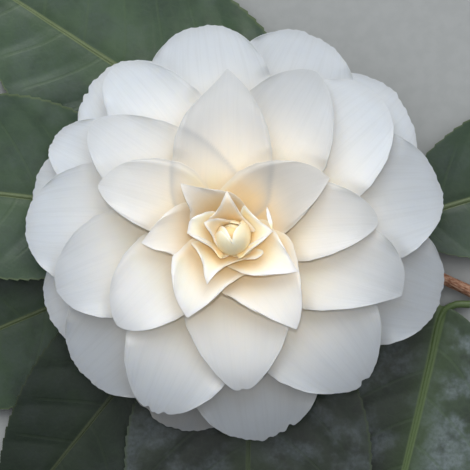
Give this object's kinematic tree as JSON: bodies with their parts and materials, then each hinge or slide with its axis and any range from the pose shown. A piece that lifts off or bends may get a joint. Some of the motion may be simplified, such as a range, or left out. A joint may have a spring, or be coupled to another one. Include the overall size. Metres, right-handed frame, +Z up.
{
  "type": "cut camellia sprig with one double flower",
  "caption": "Cut sprig laid flat: one white formal double flower facing up on a short woody twig, with glossy dark green leaves spread under it.",
  "frame": {"origin": "on the surface that the sprig lies on, under the middle of its box", "axes": "+Z up out of the flower's face, +Y towards the top of the picture, +X towards its right"},
  "size_m": [0.223, 0.1782, 0.0429],
  "materials": {
    "petals": "soft matt petal, ivory white, warmer at the centre",
    "scales": "matt green brown bud scale",
    "stalk": "matt green",
    "bark": "matt reddish brown bark",
    "leaves": "waxy dark green leaf"
  },
  "bodies": {
    "root": {"bloom": "petals", "bud_scales": "scales", "flower_stalk": "stalk", "twig": "bark", "leaf_upper_left": "leaves", "leaf_left": "leaves", "leaf_lower_left": "leaves", "leaf_under_left": "leaves", "leaf_bottom": "leaves", "leaf_lower_right": "leaves", "leaf_right": "leaves"}
  },
  "joints": []
}
